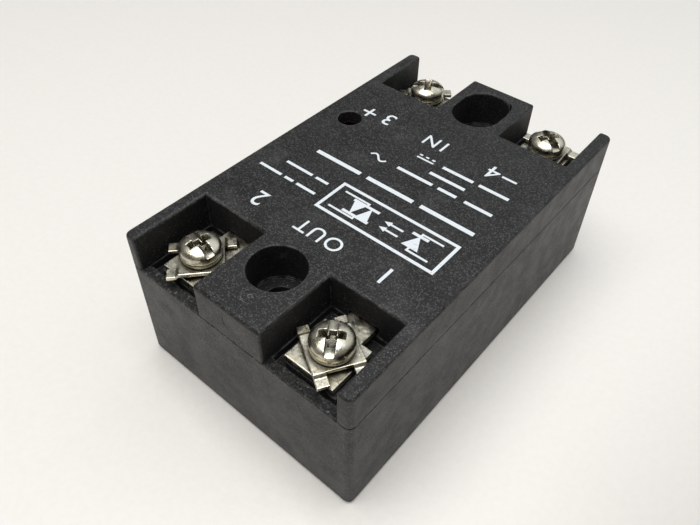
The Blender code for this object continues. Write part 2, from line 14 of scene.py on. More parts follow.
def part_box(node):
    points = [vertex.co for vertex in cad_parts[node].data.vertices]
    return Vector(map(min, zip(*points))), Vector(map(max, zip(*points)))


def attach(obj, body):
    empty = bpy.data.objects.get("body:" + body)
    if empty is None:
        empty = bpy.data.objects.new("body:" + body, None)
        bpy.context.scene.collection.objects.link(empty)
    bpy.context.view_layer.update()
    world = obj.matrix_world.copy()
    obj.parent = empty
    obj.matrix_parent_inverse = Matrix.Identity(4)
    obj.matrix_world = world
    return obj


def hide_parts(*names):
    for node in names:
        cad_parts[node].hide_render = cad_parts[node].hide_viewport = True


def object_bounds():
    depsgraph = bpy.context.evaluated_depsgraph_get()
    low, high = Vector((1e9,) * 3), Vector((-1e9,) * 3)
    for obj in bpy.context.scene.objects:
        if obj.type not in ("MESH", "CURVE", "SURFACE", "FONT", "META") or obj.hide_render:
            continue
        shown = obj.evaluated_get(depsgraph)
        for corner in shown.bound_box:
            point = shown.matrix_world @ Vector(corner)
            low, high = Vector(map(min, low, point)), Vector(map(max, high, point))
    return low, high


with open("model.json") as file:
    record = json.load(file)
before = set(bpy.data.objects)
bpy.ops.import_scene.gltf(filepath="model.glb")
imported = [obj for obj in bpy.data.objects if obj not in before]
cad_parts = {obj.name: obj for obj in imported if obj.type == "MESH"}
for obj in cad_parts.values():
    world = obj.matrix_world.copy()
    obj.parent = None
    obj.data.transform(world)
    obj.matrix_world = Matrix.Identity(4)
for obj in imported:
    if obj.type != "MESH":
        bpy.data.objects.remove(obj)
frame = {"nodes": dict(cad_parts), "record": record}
cad_low, cad_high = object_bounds()

MM = 0.001

# The plastic's top is a little under the CAD's top, which leaves room for the printing.
INK_ROOM = 0.03
TOP_LEVEL = cad_high.z / MM - INK_ROOM
SEAM_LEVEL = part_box("lower_case")[1].z / MM
COVER_FOOT_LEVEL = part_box("upper_cover")[0].z / MM
CASE_HALF_WIDTH, CASE_HALF_LENGTH = cad_high.x / MM, cad_high.y / MM
NUMBERS = (1, 2, 3, 4)

# The way each screw's slot and each clamp washer lie, in degrees round the screw's axis.
SLOT_TURNS = {1: -56, 2: -9, 3: 30, 4: -32}
CLAMP_TURNS = {1: -31, 2: 48, 3: 41, 4: 3}

# Camera: where it stands, where it looks from round the object, and its lens.
CAMERA_PLACE = (43.6, -61.4, 86.0)
CAMERA_AZIMUTH, CAMERA_ELEVATION, CAMERA_ROLL = 39.61, 46.30, 1.11
CAMERA_LENS, SENSOR_WIDTH = 33.45, 36.0

# Edge radii of the mouldings.
RIM_RADIUS, CORNER_EDGE_RADIUS, BOSS_RADIUS = 0.45, 0.4, 0.65
SEAM_RADIUS, FOOT_RADIUS, HOLE_RADIUS = 0.22, 0.4, 0.22

# An edge of the cover or of the lower case is on its outline when it is this near to the sides or ends.
COVER_OUTLINE, BASE_OUTLINE = (0.7, 0.45), (0.5, 0.3)

# Depth of the sills from the ends, and bands at the foot of the cover and of the lower case.
SILL_DEPTH, COVER_FOOT_BAND, BASE_FOOT_BAND = 2.2, 2.2, 1.0

# Edge radii of the metal parts.
CLAMP_EDGE, PLATE_EDGE, SINK_EDGE, SCREW_EDGE, SPRING_EDGE = 0.1, 0.12, 0.25, 0.07, 0.07

# An edge that turns by more than this, in degrees, is sharp until it is rounded.
SHARP_TURN = 32

# Holes in the top: the fixing holes' distance from the middle, the lamp hole's place, and radii that
# take in their rims.
FIXING_HOLE_Y, FIXING_HOLE_REACH = 24.2, 5.4
LAMP_HOLE_X, LAMP_HOLE_Y, LAMP_HOLE_REACH = -14.9, 8.5, 2.1

# An edge of the top is at a boss's end when its middle is within this of X = 0, and past this in Y.
BOSS_END_X, BOSS_END_Y = 5.0, 31.0

# A face of the mouldings is shaded as flat when it has at least this area, in square millimetres, and
# this ratio of area to outline, in millimetres, which the long facets of a hole's wall don't reach.
LARGE_FACE, BROAD_FACE = 8.0, 0.45

# Points of a CAD mesh that are closer than this are one point.
WELD_REACH = 0.002

# Planes through the middles of the holes: a place and a direction for each.
COVER_CUTS = (((0, 0, 0), (1, 0, 0)), ((0, LAMP_HOLE_Y, 0), (0, 1, 0)))
BASE_CUTS = tuple(((x, 0, 0), (1, 0, 0)) for x in (-12, 0, 12))

# Ring and dot of the mould mark: their middle in X and Y, their height above the top, then a radius and
# half of the width for each.
MOULD_MARK_X, MOULD_MARK_Y, MOULD_MARK_HEIGHT = 0.9, -29.0, 0.028
MOULD_MARK_RINGS = ((1.15, 0.09), (0.28, 0.12))

# Terminal screws: head, recesses and thread, with heights counted from the underside of the head, and
# the gap between the head and its spring washer.
HEAD_RADIUS, HEAD_HEIGHT, HEAD_EDGE = 2.95, 2.3, 0.95
HEAD_ROUNDNESS, HEAD_CHAMFER, HEAD_GAP = 0.92, (0.2, 0.22), 0.05
SLOT_WIDTH, SLOT_DEPTH, SLOT_TAPER = 1.4, 1.1, 0.12
CROSS_TOP, CROSS_FOOT, CROSS_DEPTH = (1.25, 3.8), (0.75, 1.9), 1.8
THREAD_RADIUS, THREAD_DEPTH, THREAD_PITCH, THREAD_LENGTH = 1.7, 0.33, 0.6, 8.5
TIP_LENGTH, TIP_TAPER = 0.7, 0.45

# Spring washers: radii, half of the split in degrees, and the climb from one end to the other.
SPRING_OUTER, SPRING_INNER, SPRING_SPLIT, SPRING_RISE = 2.85, 1.9, 8.0, 0.13

# Printing: half of its thickness, how far characters spread, and the steps in height between marks.
INK_THICKNESS, INK_SPREAD, INK_STEP, INK_STEPS = 0.02, 0.01, 0.0012, 6

# Heights of characters, half-length and width of the plus and minus signs' bars, and widths of lines.
NUMERAL_HEIGHT, WORD_HEIGHT = 3.0, 2.5
SIGN_HALF, SIGN_WIDTH = 1.25, 0.42
THICK_LINE, THIN_LINE, FINE_LINE = 0.5, 0.34, 0.32

# What is printed: the characters, their height, their middle, and the spacing between them.
LETTERING = (
    ("1", NUMERAL_HEIGHT, (-11.4, 15.4), 1.0),
    ("2", NUMERAL_HEIGHT, (11.5, 15.4), 1.0),
    ("3", NUMERAL_HEIGHT, (9.7, -12.3), 1.0),
    ("4", NUMERAL_HEIGHT, (-10.6, -11.7), 1.0),
    ("OUT", WORD_HEIGHT, (-0.1, 15.45), 1.15),
    ("IN", WORD_HEIGHT, (0.2, -12.1), 1.3),
)
PLUS_PLACE, MINUS_PLACE = (13.4, -11.9), (-13.35, -11.8)

# Circuit symbol: the frame's left, right, low and high sides, then the emitter and the switch in it.
CIRCUIT_FRAME = (-15.6, 4.4, 4.9, 11.1)
EMITTER_X, SWITCH_X, SWITCH_HALF = -10.6, -1.2, 2.1
SYMBOL_LEVEL, SYMBOL_HALF = 8.0, 1.35
SYMBOL_TOP, SYMBOL_FOOT = SYMBOL_LEVEL + SYMBOL_HALF, SYMBOL_LEVEL - SYMBOL_HALF

# Its leads end this far inside the frame, and its bars stick out this far past the switch's triangles.
LEAD_INSET, EMITTER_INSET, BAR_EXCESS = 1.2, 1.6, 0.2

# Its arrows: levels, then where each starts, where the shaft ends just inside the head, and the head.
ARROW_RISES, ARROW_START, SHAFT_END = (0.7, -0.6), 2.4, 4.6
ARROW_HEAD, ARROW_TIP, ARROW_HALF = 4.5, 5.6, 0.5

# Rows of plain bars: left end, level, lengths of the bars, gap between them, and height.
BAR_ROWS = (
    (6.2, 9.5, (3.6, 1.7, 4.4), 0.7, 0.5),
    (6.2, 6.6, (2.4, 5.2), 0.7, 0.5),
    (-15.8, 1.6, (9.0, 8.4, 8.6), 1.3, 0.75),
    (-15.6, -3.3, (4.6,), 1.0, 0.6),
    (-9.6, -3.3, (3.2, 6.4), 1.0, 0.6),
    (-9.6, -5.5, (6.2,), 1.0, 0.6),
    (-15.6, -7.8, (5.0,), 1.0, 0.6),
    (-9.6, -7.8, (5.4,), 1.0, 0.6),
)

# Signs for alternating and direct current: left end, level, length, and height or spacing.
WAVE_LEFT, WAVE_LEVEL, WAVE_LENGTH, WAVE_HEIGHT, WAVE_STEPS = 3.2, -3.3, 3.0, 0.55, 16
DIRECT_LEFT, DIRECT_RIGHT, DIRECT_LEVEL = -2.6, 0.4, -7.5
DASH_LEFT, DASH_LENGTH, DASH_SPACING, DASH_LEVEL = -2.5, 0.55, 1.15, -8.2

# Dents in the case, each with a place and half of its size: a nick on the near boss, and one by its side.
DENTS = (((-0.45, -32.6, 22.3), (0.28, 1.0, 0.75)), ((6.0, -27.4, 23.7), (1.0, 0.9, 0.8)))
DENT_DEPTH = 0.25

# Tones of the black plastic and of what lies on it, with a painted shade for its recesses and a painted
# glint for its edges.
PLASTIC_DARK, PLASTIC_LIGHT = (0.005, 0.005, 0.0052), (0.012, 0.012, 0.0122)
GRAIN_TONE, SPECK_TONE, HAZE_TONE = (0.048, 0.048, 0.047), (0.095, 0.095, 0.093), (0.30, 0.30, 0.29)
RECESS_SHADE_TONE, SCRATCH_TONE = (0.001, 0.001, 0.001), (0.25, 0.25, 0.24)
DUST_TONE, FINE_DUST_TONE, POCKET_DUST_TONE = (0.42, 0.42, 0.40), (0.32, 0.32, 0.31), (0.38, 0.38, 0.36)
# The second tone lightens edges, both for wear and as a painted glint along them.
TORN_TONE, WEAR_GLINT_TONE = (0.22, 0.22, 0.21), (0.28, 0.28, 0.27)

# Tones of metal: tarnish as a share of the metal's own colour, then stains, and grime that also paints
# shade into the recesses.
TARNISH_SHARE = (0.60, 0.55, 0.42)
STAIN_TONE, GRIME_SHADE_TONE = (0.26, 0.20, 0.12), (0.05, 0.04, 0.025)

# Table: half of its size, in metres here, and the gap under the object.
TABLE_HALF_SIZE, TABLE_GAP = 1.5, 0.05

# Room: the way to its bright side, where the brightness starts and is full, and the two tones.
BRIGHT_WAY = (0.12, 0.63, 0.77)
BRIGHT_START, BRIGHT_FULL = 0.68, 0.97
ROOM_TONE, BRIGHT_TONE = (0.13, 0.13, 0.13, 1), (0.82, 0.86, 0.88, 1)

# Soft light over the object.
SOFTBOX_PLACE, SOFTBOX_SIZE = (-20, -120, 640), 560
SOFTBOX_POWER, SOFTBOX_TONE = 4.3, (1.0, 0.99, 0.975)

# Card out of view to the object's right.
CARD_PLACE, CARD_SIZE = (84, -18, 70), 44


# ---------------------------------------------------------------- materials

class Finish:
    """A procedural material on one Principled shader. Textures are laid out in millimetres."""

    def __init__(self, name, colour, roughness, metallic=0.0):
        self.material = bpy.data.materials.new(name)
        self.material.use_nodes = True
        self.tree = self.material.node_tree
        self.shader = self.tree.nodes["Principled BSDF"]
        self.shader.inputs["Base Color"].default_value = (*colour, 1.0)
        self.shader.inputs["Roughness"].default_value = roughness
        self.shader.inputs["Metallic"].default_value = metallic
        self.millimetres = self.scaled(self.add("ShaderNodeTexCoord").outputs["Object"], (1 / MM,) * 3)
        self.bumps = None

    def add(self, kind, **settings):
        node = self.tree.nodes.new(kind)
        for key, value in settings.items():
            setattr(node, key, value)
        return node

    def feed(self, socket, value):
        """Connect an output to a socket, or set the socket to a plain value."""
        if isinstance(value, bpy.types.NodeSocket):
            self.tree.links.new(value, socket)
        else:
            socket.default_value = value

    def scaled(self, vector, factors):
        node = self.add("ShaderNodeVectorMath", operation="MULTIPLY")
        self.feed(node.inputs[0], vector)
        node.inputs[1].default_value = factors
        return node.outputs[0]

    def turned(self, degrees):
        """The millimetre coordinates turned about Z."""
        node = self.add("ShaderNodeVectorRotate", rotation_type="Z_AXIS")
        self.feed(node.inputs["Vector"], self.millimetres)
        node.inputs["Angle"].default_value = math.radians(degrees)
        return node.outputs[0]

    def math(self, operation, first, second=0.0):
        node = self.add("ShaderNodeMath", operation=operation)
        self.feed(node.inputs[0], first)
        self.feed(node.inputs[1], second)
        return node.outputs[0]

    def noise(self, per_mm, detail=3.0, stretch=(1, 1, 1), rough=0.55, vector=None):
        node = self.add("ShaderNodeTexNoise")
        self.feed(node.inputs["Vector"], self.scaled(vector or self.millimetres, stretch))
        node.inputs["Scale"].default_value = per_mm
        node.inputs["Detail"].default_value = detail
        node.inputs["Roughness"].default_value = rough
        return node.outputs["Fac"]

    def between(self, value, low, high, to_low=0.0, to_high=1.0):
        """The value mapped from one range to another, and kept inside it."""
        node = self.add("ShaderNodeMapRange", interpolation_type="SMOOTHSTEP")
        self.feed(node.inputs["Value"], value)
        node.inputs["From Min"].default_value = low
        node.inputs["From Max"].default_value = high
        node.inputs["To Min"].default_value = to_low
        node.inputs["To Max"].default_value = to_high
        return node.outputs["Result"]

    def specks(self, per_mm, size, share):
        """Scattered round specks: their size in cells, and the share of cells that hold one."""
        cells = self.add("ShaderNodeTexVoronoi")
        self.feed(cells.inputs["Vector"], self.millimetres)
        cells.inputs["Scale"].default_value = per_mm
        spots = self.between(cells.outputs["Distance"], size * 0.4, size, 1.0, 0.0)
        chosen = self.add("ShaderNodeSeparateColor")
        self.feed(chosen.inputs[0], cells.outputs["Color"])
        return self.math("MULTIPLY", spots, self.math("LESS_THAN", chosen.outputs[0], share))

    def scratches(self, degrees, per_mm, width=0.012, length_share=0.55):
        """Fine straight scratches in one direction, broken up along their length."""
        turned = self.turned(degrees)
        lines = self.noise(per_mm, 0.0, (0.03, 1, 1), vector=turned)
        thin = self.between(self.math("ABSOLUTE", self.math("SUBTRACT", lines, 0.5)), width * 0.4, width,
                            1.0, 0.0)
        broken = self.between(self.noise(0.11, 2.0, vector=turned), length_share, length_share + 0.06)
        return self.math("MULTIPLY", thin, broken)

    def crevices(self, reach, low, high):
        """One in tight corners and recesses, and zero on open surfaces."""
        node = self.add("ShaderNodeAmbientOcclusion", samples=8)
        node.inputs["Distance"].default_value = reach * MM
        return self.between(node.outputs["AO"], low, high, 1.0, 0.0)

    def axis(self, name, vector=None):
        """One part of a vector, which is the place in millimetres if none is given."""
        node = self.add("ShaderNodeSeparateXYZ")
        self.feed(node.inputs[0], vector or self.millimetres)
        return node.outputs[name]

    def upward(self, elsewhere):
        """One on faces that look up, and the given value on walls."""
        normal = self.add("ShaderNodeNewGeometry").outputs["Normal"]
        return self.between(self.axis("Z", normal), 0.2, 0.9, elsewhere, 1.0)

    def spot(self, place, size):
        """One at a place, fading out at the edge of an ellipsoid of that half-size, in millimetres."""
        moved = self.add("ShaderNodeVectorMath", operation="SUBTRACT")
        self.feed(moved.inputs[0], self.millimetres)
        moved.inputs[1].default_value = place
        length = self.add("ShaderNodeVectorMath", operation="LENGTH")
        self.feed(length.inputs[0], self.scaled(moved.outputs[0], tuple(1 / value for value in size)))
        return self.between(length.outputs["Value"], 0.55, 1.0, 1.0, 0.0)

    def edges(self, reach):
        """One on sharp outer and inner edges, and zero on flat surfaces."""
        rounded = self.add("ShaderNodeBevel", samples=4)
        rounded.inputs["Radius"].default_value = reach * MM
        likeness = self.add("ShaderNodeVectorMath", operation="DOT_PRODUCT")
        self.feed(likeness.inputs[0], rounded.outputs["Normal"])
        self.feed(likeness.inputs[1], self.add("ShaderNodeNewGeometry").outputs["Normal"])
        return self.between(likeness.outputs["Value"], 0.955, 0.995, 1.0, 0.0)

    def masked(self, mask, share):
        """The mask, weakened to a share of its strength."""
        return self.math("MULTIPLY", mask, share)

    def colour(self, factor, first, second):
        """Blend from the first colour to the second. Either may be an output."""
        node = self.add("ShaderNodeMix", data_type="RGBA")
        self.feed(node.inputs["Factor"], factor)
        for socket, value in ((node.inputs[6], first), (node.inputs[7], second)):
            self.feed(socket, value if isinstance(value, bpy.types.NodeSocket) else (*value, 1.0))
        return node.outputs[2]

    def paint(self, colour):
        self.feed(self.shader.inputs["Base Color"], colour)

    def gloss(self, roughness):
        self.feed(self.shader.inputs["Roughness"], roughness)

    def bump(self, height, depth):
        """Add relief of a depth in millimetres on top of what is there."""
        node = self.add("ShaderNodeBump")
        node.inputs["Distance"].default_value = depth * MM
        self.feed(node.inputs["Height"], height)
        if self.bumps:
            self.feed(node.inputs["Normal"], self.bumps)
        self.bumps = node.outputs["Normal"]
        self.feed(self.shader.inputs["Normal"], self.bumps)


def black_moulding():
    """Moulded black thermoset: matte grain, pale specks, handling scratches, dust, edge wear with a
    painted glint, and painted shade in the recesses.
    """
    finish = Finish("black_moulding", PLASTIC_DARK, 0.5)
    finish.shader.inputs["Specular IOR Level"].default_value = 0.36
    grain = finish.noise(2.6, 5.0, rough=0.8)
    over_floors = finish.between(finish.axis("Z"), SEAM_LEVEL - 2.0, SEAM_LEVEL - 1.0)
    # Painted shade: recesses above the pocket floors, found by occlusion, are made darker and rougher.
    sunk = finish.math("MULTIPLY", finish.crevices(7.0, 0.5, 0.98), over_floors)
    marks = finish.math("MAXIMUM", finish.scratches(24, 1.3), finish.scratches(-61, 0.9))
    marks = finish.math("MAXIMUM", marks, finish.scratches(83, 1.1, 0.01, 0.6))
    torn = finish.between(finish.noise(1.7, 5.0, rough=0.75), 0.48, 0.64)
    scuffed = finish.math("MULTIPLY", ledge_mask(finish), torn)
    body = plastic_body(finish, grain, sunk)
    body = finish.colour(finish.masked(marks, 0.07), body, SCRATCH_TONE)
    body = dusted(finish, body)
    body = finish.colour(finish.masked(scuffed, 0.6), body, TORN_TONE)
    # Edge wear and a painted glint: sharp edges are lightened in broken patches.
    wear_and_glint = finish.math("MULTIPLY", finish.edges(0.3), finish.between(finish.noise(0.9, 4.0), 0.38, 0.6))
    finish.paint(finish.colour(finish.masked(wear_and_glint, 0.3), body, WEAR_GLINT_TONE))
    rough = finish.between(finish.noise(0.35, 5.0), 0.32, 0.68, 0.41, 0.52)
    rough = finish.math("ADD", rough, finish.masked(sunk, 0.35))
    finish.gloss(finish.math("ADD", rough, finish.masked(marks, 0.12)))
    finish.bump(finish.noise(1.1, 2.0), 0.008)
    finish.bump(grain, 0.06)
    finish.bump(scuffed, 0.25)
    finish.bump(marks, -0.004)
    for place, size in DENTS:
        finish.bump(finish.spot(place, size), -DENT_DEPTH)
    return finish.material


def plastic_body(finish, grain, sunk):
    """The plastic's colour: soft flow marks, grain, pale specks and haze, and painted shade that darkens
    the recesses.
    """
    clouds = finish.noise(0.16, 4.0, rough=0.6)
    body = finish.colour(finish.between(clouds, 0.35, 0.68), PLASTIC_DARK, PLASTIC_LIGHT)
    body = finish.colour(finish.between(grain, 0.49, 0.66), body, GRAIN_TONE)
    specks = finish.math("MULTIPLY", finish.specks(3.9, 0.45, 0.55), finish.upward(0.5))
    body = finish.colour(specks, body, SPECK_TONE)
    haze = finish.between(finish.noise(0.09, 5.0, rough=0.7), 0.52, 0.70)
    body = finish.colour(finish.masked(haze, 0.08), body, HAZE_TONE)
    # Painted shade: the recesses are darkened towards near black.
    return finish.colour(finish.masked(sunk, 0.75), body, RECESS_SHADE_TONE)


def dusted(finish, body):
    """The body's colour with dust on it: coarse and fine all over, and more in sheltered places."""
    body = finish.colour(finish.masked(finish.specks(0.9, 0.08, 0.18), 0.6), body, DUST_TONE)
    body = finish.colour(finish.masked(finish.specks(2.6, 0.17, 0.3), 0.36), body, FINE_DUST_TONE)
    sheltered = finish.math("MULTIPLY", finish.crevices(5.0, 0.2, 0.8), finish.specks(3.0, 0.24, 0.34))
    return finish.colour(finish.masked(sheltered, 0.7), body, POCKET_DUST_TONE)


def ledge_mask(finish):
    """One on the sills at the two ends of the lower case, in front of the terminal pockets."""
    outward = finish.between(finish.math("ABSOLUTE", finish.axis("Y")), CASE_HALF_LENGTH - 3.4,
                             CASE_HALF_LENGTH - 1.9)
    above = finish.between(finish.axis("Z"), SEAM_LEVEL - 0.6, SEAM_LEVEL - 0.3)
    below = finish.between(finish.axis("Z"), SEAM_LEVEL + 0.05, SEAM_LEVEL + 0.15, 1.0, 0.0)
    return finish.math("MULTIPLY", outward, finish.math("MULTIPLY", above, below))


def worn_metal(name, colour, roughness, grime_and_shade=0.9):
    """Plated or bare metal: drawn lines, tarnish, small stains, and brown grime in the recesses, darkened
    there as painted shade.
    """
    finish = Finish(name, colour, roughness, 1.0)
    tarnish = finish.between(finish.noise(0.55, 4.0, rough=0.65), 0.42, 0.7, 0.0, 0.75)
    tarnished = tuple(value * share for value, share in zip(colour, TARNISH_SHARE))
    body = finish.colour(tarnish, colour, tarnished)
    stains = finish.between(finish.noise(2.2, 3.0), 0.66, 0.78, 0.0, 0.45)
    body = finish.colour(stains, body, STAIN_TONE)
    # Grime and painted shade: occlusion darkens the recesses towards a near-black brown.
    finish.paint(finish.colour(finish.masked(finish.crevices(1.8, 0.4, 0.95), grime_and_shade), body, GRIME_SHADE_TONE))
    lines = finish.noise(9.0, 2.0, (0.06, 1, 1), vector=finish.turned(31))
    patches = finish.between(finish.noise(0.8, 3.0), 0.3, 0.75, -0.06, 0.16)
    drawn = finish.between(lines, 0.3, 0.7, roughness, roughness + 0.12)
    finish.gloss(finish.math("ADD", patches, drawn))
    finish.bump(lines, 0.006)
    finish.bump(finish.noise(1.0, 3.0), 0.06)
    finish.bump(finish.specks(1.4, 0.16, 0.25), -0.02)
    return finish.material


def brushed_aluminium():
    """Rolled and brushed base plate, with handling marks."""
    finish = Finish("brushed_aluminium", (0.62, 0.62, 0.63), 0.36, 1.0)
    lines = finish.noise(6.0, 3.0, (1, 0.02, 1))
    body = finish.colour(finish.between(lines, 0.25, 0.75), (0.50, 0.50, 0.51), (0.70, 0.70, 0.71))
    stains = finish.between(finish.noise(0.12, 4.0), 0.5, 0.7, 0.0, 0.3)
    finish.paint(finish.colour(stains, body, (0.40, 0.39, 0.37)))
    finish.gloss(finish.between(lines, 0.2, 0.8, 0.27, 0.48))
    finish.bump(lines, 0.012)
    finish.bump(finish.scratches(38, 0.8, 0.014), -0.01)
    return finish.material


def lacquered(name, colour, shade, roughness, per_mm=1.2, relief=0.02):
    """Dipped, moulded or fired coating: two shades in soft patches over an uneven surface."""
    finish = Finish(name, colour, roughness)
    patches = finish.noise(per_mm, 4.0)
    body = finish.colour(finish.between(patches, 0.3, 0.7), shade, colour)
    specks = finish.masked(finish.specks(per_mm * 2, 0.14, 0.2), 0.4)
    finish.paint(finish.colour(specks, body, tuple(0.5 * value for value in shade)))
    uneven = finish.noise(per_mm * 2, 3.0)
    finish.gloss(finish.between(uneven, 0.3, 0.7, roughness - 0.07, roughness + 0.1))
    finish.bump(patches, relief)
    return finish.material


def circuit_laminate():
    """Green solder mask over copper tracks, with the glass cloth showing faintly."""
    finish = Finish("circuit_laminate", (0.03, 0.16, 0.06), 0.35)
    tracks = finish.add("ShaderNodeTexBrick", offset=0.37)
    finish.feed(tracks.inputs["Vector"], finish.millimetres)
    layout = {"Scale": 0.32, "Mortar Size": 0.045, "Brick Width": 1.7, "Row Height": 0.55}
    for socket, value in layout.items():
        tracks.inputs[socket].default_value = value
    body = finish.colour(tracks.outputs["Fac"], (0.022, 0.13, 0.045), (0.05, 0.24, 0.08))
    cloth = finish.between(finish.noise(3.0, 2.0), 0.4, 0.7, 0.0, 0.4)
    finish.paint(finish.colour(cloth, body, (0.06, 0.22, 0.09)))
    finish.gloss(finish.between(finish.noise(1.0), 0.3, 0.7, 0.28, 0.45))
    finish.bump(tracks.outputs["Fac"], 0.03)
    return finish.material


def clear_lamp():
    """Tinted clear epoxy of the indicator."""
    finish = Finish("clear_lamp", (0.55, 0.02, 0.015), 0.12)
    finish.shader.inputs["Transmission Weight"].default_value = 0.6
    finish.shader.inputs["IOR"].default_value = 1.5
    haze = finish.noise(2.0, 3.0)
    finish.paint(finish.colour(finish.between(haze, 0.3, 0.7), (0.45, 0.012, 0.01), (0.62, 0.04, 0.03)))
    finish.gloss(finish.between(haze, 0.3, 0.7, 0.08, 0.2))
    finish.bump(haze, 0.01)
    return finish.material


def white_ink():
    """Pad-printed ink, with small pinholes and rubbed patches."""
    finish = Finish("white_ink", (0.56, 0.60, 0.62), 0.55)
    rubbed = finish.between(finish.noise(1.6, 4.0, rough=0.7), 0.56, 0.74, 0.0, 0.55)
    body = finish.colour(rubbed, (0.74, 0.79, 0.83), (0.34, 0.36, 0.38))
    pinholes = finish.masked(finish.specks(3.2, 0.16, 0.16), 0.7)
    finish.paint(finish.colour(pinholes, body, (0.05, 0.05, 0.05)))
    finish.gloss(finish.between(rubbed, 0.0, 0.55, 0.45, 0.65))
    finish.bump(finish.noise(7.0, 2.0), 0.008)
    return finish.material


def table_top():
    """Pale laminate table with a faint grain."""
    finish = Finish("table_top", (0.86, 0.83, 0.79), 0.55)
    grain = finish.noise(0.9, 5.0, rough=0.7)
    shades = finish.between(grain, 0.3, 0.7)
    finish.paint(finish.colour(shades, (0.85, 0.825, 0.785), (0.875, 0.85, 0.81)))
    finish.gloss(finish.between(finish.noise(0.3), 0.3, 0.7, 0.3, 0.4))
    finish.bump(grain, 0.03)
    return finish.material


def slot_materials():
    """One material for each of the record's material slots."""
    return {
        "case": black_moulding(),
        "aluminium": brushed_aluminium(),
        "nickel": worn_metal("nickel_strip", (0.74, 0.71, 0.60), 0.24),
        "screw_nickel": worn_metal("nickel_screw", (0.72, 0.69, 0.58), 0.2),
        "copper": worn_metal("copper_tab", (0.74, 0.42, 0.28), 0.32, 0.3),
        "ceramic": lacquered("fired_ceramic", (0.84, 0.84, 0.80), (0.74, 0.74, 0.70), 0.55, 2.0, 0.01),
        "resin": lacquered("cast_resin", (0.10, 0.09, 0.08), (0.06, 0.055, 0.05), 0.25, 0.4, 0.08),
        "epoxy": lacquered("moulded_epoxy", (0.035, 0.035, 0.036), (0.02, 0.02, 0.021), 0.55, 4.0, 0.015),
        "board": circuit_laminate(),
        "resistor": lacquered("resistor_lacquer", (0.62, 0.52, 0.36), (0.52, 0.42, 0.27), 0.4),
        "film_capacitor": lacquered("film_capacitor_dip", (0.62, 0.34, 0.10), (0.48, 0.24, 0.06), 0.35),
        "varistor": lacquered("varistor_dip", (0.08, 0.15, 0.45), (0.05, 0.09, 0.30), 0.35),
        "capacitor_sleeve": lacquered("shrink_sleeve", (0.06, 0.07, 0.17), (0.04, 0.05, 0.12), 0.3),
        "lamp": clear_lamp(),
    }


def dress(piece, material):
    """Give a piece one material in place of what it has."""
    piece.data.materials.clear()
    piece.data.materials.append(material)


# ---------------------------------------------------------------- mesh helpers

def add_piece(name, data):
    """A new object in the scene around its data."""
    piece = bpy.data.objects.new(name, data)
    bpy.context.scene.collection.objects.link(piece)
    return piece


def finished_mesh(piece):
    """The piece's mesh with its modifiers applied, free of the scene."""
    bpy.context.view_layer.update()
    evaluated = piece.evaluated_get(bpy.context.evaluated_depsgraph_get())
    return bpy.data.meshes.new_from_object(evaluated)


def mesh_from(bm, name):
    """The mesh of a finished outline, whose working copy is freed."""
    mesh = bpy.data.meshes.new(name)
    bm.to_mesh(mesh)
    bm.free()
    return mesh


def on_circle(radius, turn, height):
    """A point at a distance from the Z axis, in metres."""
    return Vector((radius * math.cos(turn), radius * math.sin(turn), height)) * MM


def join_rings(bm, rings):
    """Join each ring of points to the next one. A ring of one point is a tip."""
    for ring, following in zip(rings, rings[1:]):
        steps = max(len(ring), len(following))
        for step in range(steps):
            after = (step + 1) % steps
            corners = (ring[step % len(ring)], following[step % len(following)],
                       following[after % len(following)], ring[after % len(ring)])
            bm.faces.new(list(dict.fromkeys(corners)))


def add_bevel(piece, width, segments, limit="ANGLE", degrees=SHARP_TURN):
    """Round a piece's edges with modifiers, either the sharp ones or by their weights."""
    bevel = piece.modifiers.new("edges", "BEVEL")
    bevel.width = width * MM
    bevel.segments = segments
    bevel.limit_method = limit
    bevel.angle_limit = math.radians(degrees)
    bevel.use_clamp_overlap = False
    normals = piece.modifiers.new("normals", "WEIGHTED_NORMAL")
    normals.keep_sharp = True


def soften_node(node, width, segments=2):
    """Round a CAD node's sharp edges with modifiers, and leave its own mesh as it is."""
    piece = frame["nodes"][node]
    weld = piece.modifiers.new("weld", "WELD")
    weld.merge_threshold = WELD_REACH * MM
    planar = piece.modifiers.new("flat faces", "DECIMATE")
    planar.decimate_type = "DISSOLVE"
    planar.angle_limit = math.radians(1)
    add_bevel(piece, width, segments)


# ---------------------------------------------------------------- case

def moulding(node, name, radius_of_edge, cuts, material):
    """A case moulding with its corners rounded: radius_of_edge gives a radius for an edge's middle.

    The cuts are planes through the middles of its holes, so that no flat face is left with a hole in it,
    and its top is lowered to leave room for the printing.
    """
    bm = bmesh.new()
    bm.from_mesh(frame["nodes"][node].data)
    bmesh.ops.remove_doubles(bm, verts=bm.verts, dist=WELD_REACH * MM)
    cut_through_holes(bm, cuts)
    for vert in bm.verts:
        if vert.co.z > (TOP_LEVEL + INK_ROOM / 2) * MM:
            vert.co.z = TOP_LEVEL * MM
    widest = max(RIM_RADIUS, FOOT_RADIUS, BOSS_RADIUS)
    weigh_edges(bm, radius_of_edge, widest)
    for face in bm.faces:
        face.smooth = True
    sharp = add_piece("sharp_moulding", mesh_from(bm, name))
    add_bevel(sharp, widest, 3, "WEIGHT")
    piece = add_piece(name, finished_mesh(sharp))
    bpy.data.objects.remove(sharp)
    shade_flats(piece.data)
    dress(piece, material)
    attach(piece, "case")
    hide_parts(node)


def cut_through_holes(bm, cuts):
    """Cut along the planes, keep the cuts on level faces, and join all other flat faces."""
    for place, direction in cuts:
        everything = bm.verts[:] + bm.edges[:] + bm.faces[:]
        cut = bmesh.ops.bisect_plane(bm, geom=everything, dist=WELD_REACH * MM,
                                     plane_co=Vector(place) * MM, plane_no=direction)
        for part in cut["geom_cut"]:
            if isinstance(part, bmesh.types.BMEdge):
                part.seam = all(abs(face.normal.z) > 0.5 for face in part.link_faces)
    bmesh.ops.dissolve_limit(bm, angle_limit=math.radians(1), verts=bm.verts, edges=bm.edges,
                             delimit={"SEAM"})


